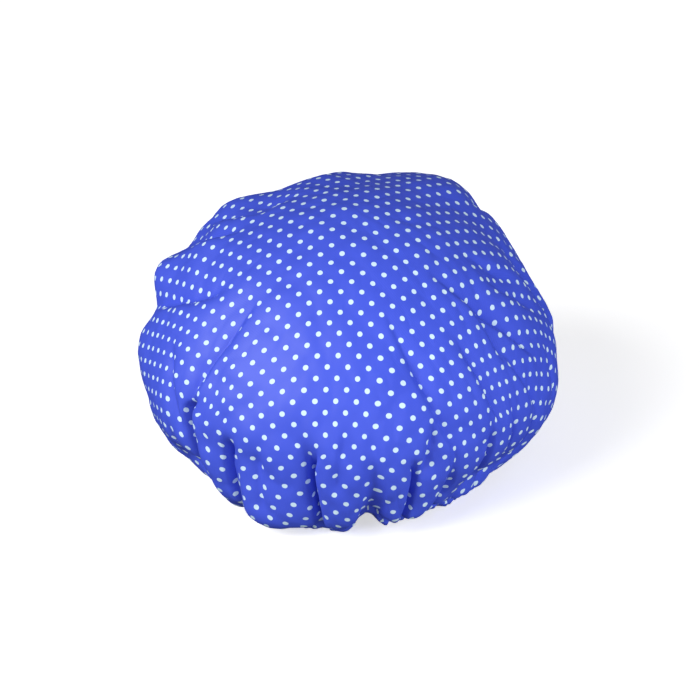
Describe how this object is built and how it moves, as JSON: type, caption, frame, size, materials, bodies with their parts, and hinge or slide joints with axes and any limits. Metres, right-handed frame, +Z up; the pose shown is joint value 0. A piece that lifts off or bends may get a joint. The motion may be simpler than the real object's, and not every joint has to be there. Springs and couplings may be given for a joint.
{
  "type": "shower cap",
  "caption": "Bouffant shower cap of dotted cloth over a waterproof film, gathered into folds on an elastic hem.",
  "frame": {"origin": "middle of the head opening, in the plane that the hem rests on", "axes": "+Z up through the crown, -Y towards the front of the cap, +X towards the right as the front is seen"},
  "size_m": [0.2784, 0.277, 0.1843],
  "materials": {
    "printed_cloth": "thin blue cloth with a soft sheen and white pin dots",
    "lining_film": "smooth milky film",
    "elastic": "woven matt",
    "tack_thread": "twisted thread",
    "seam_thread": "twisted thread"
  },
  "bodies": {
    "root": {"outer_cloth": "printed_cloth", "waterproof_lining": "lining_film", "elastic_band": "elastic", "elastic_tack": "tack_thread", "seam_needle_thread": "seam_thread", "seam_bobbin_thread": "seam_thread"}
  },
  "joints": []
}
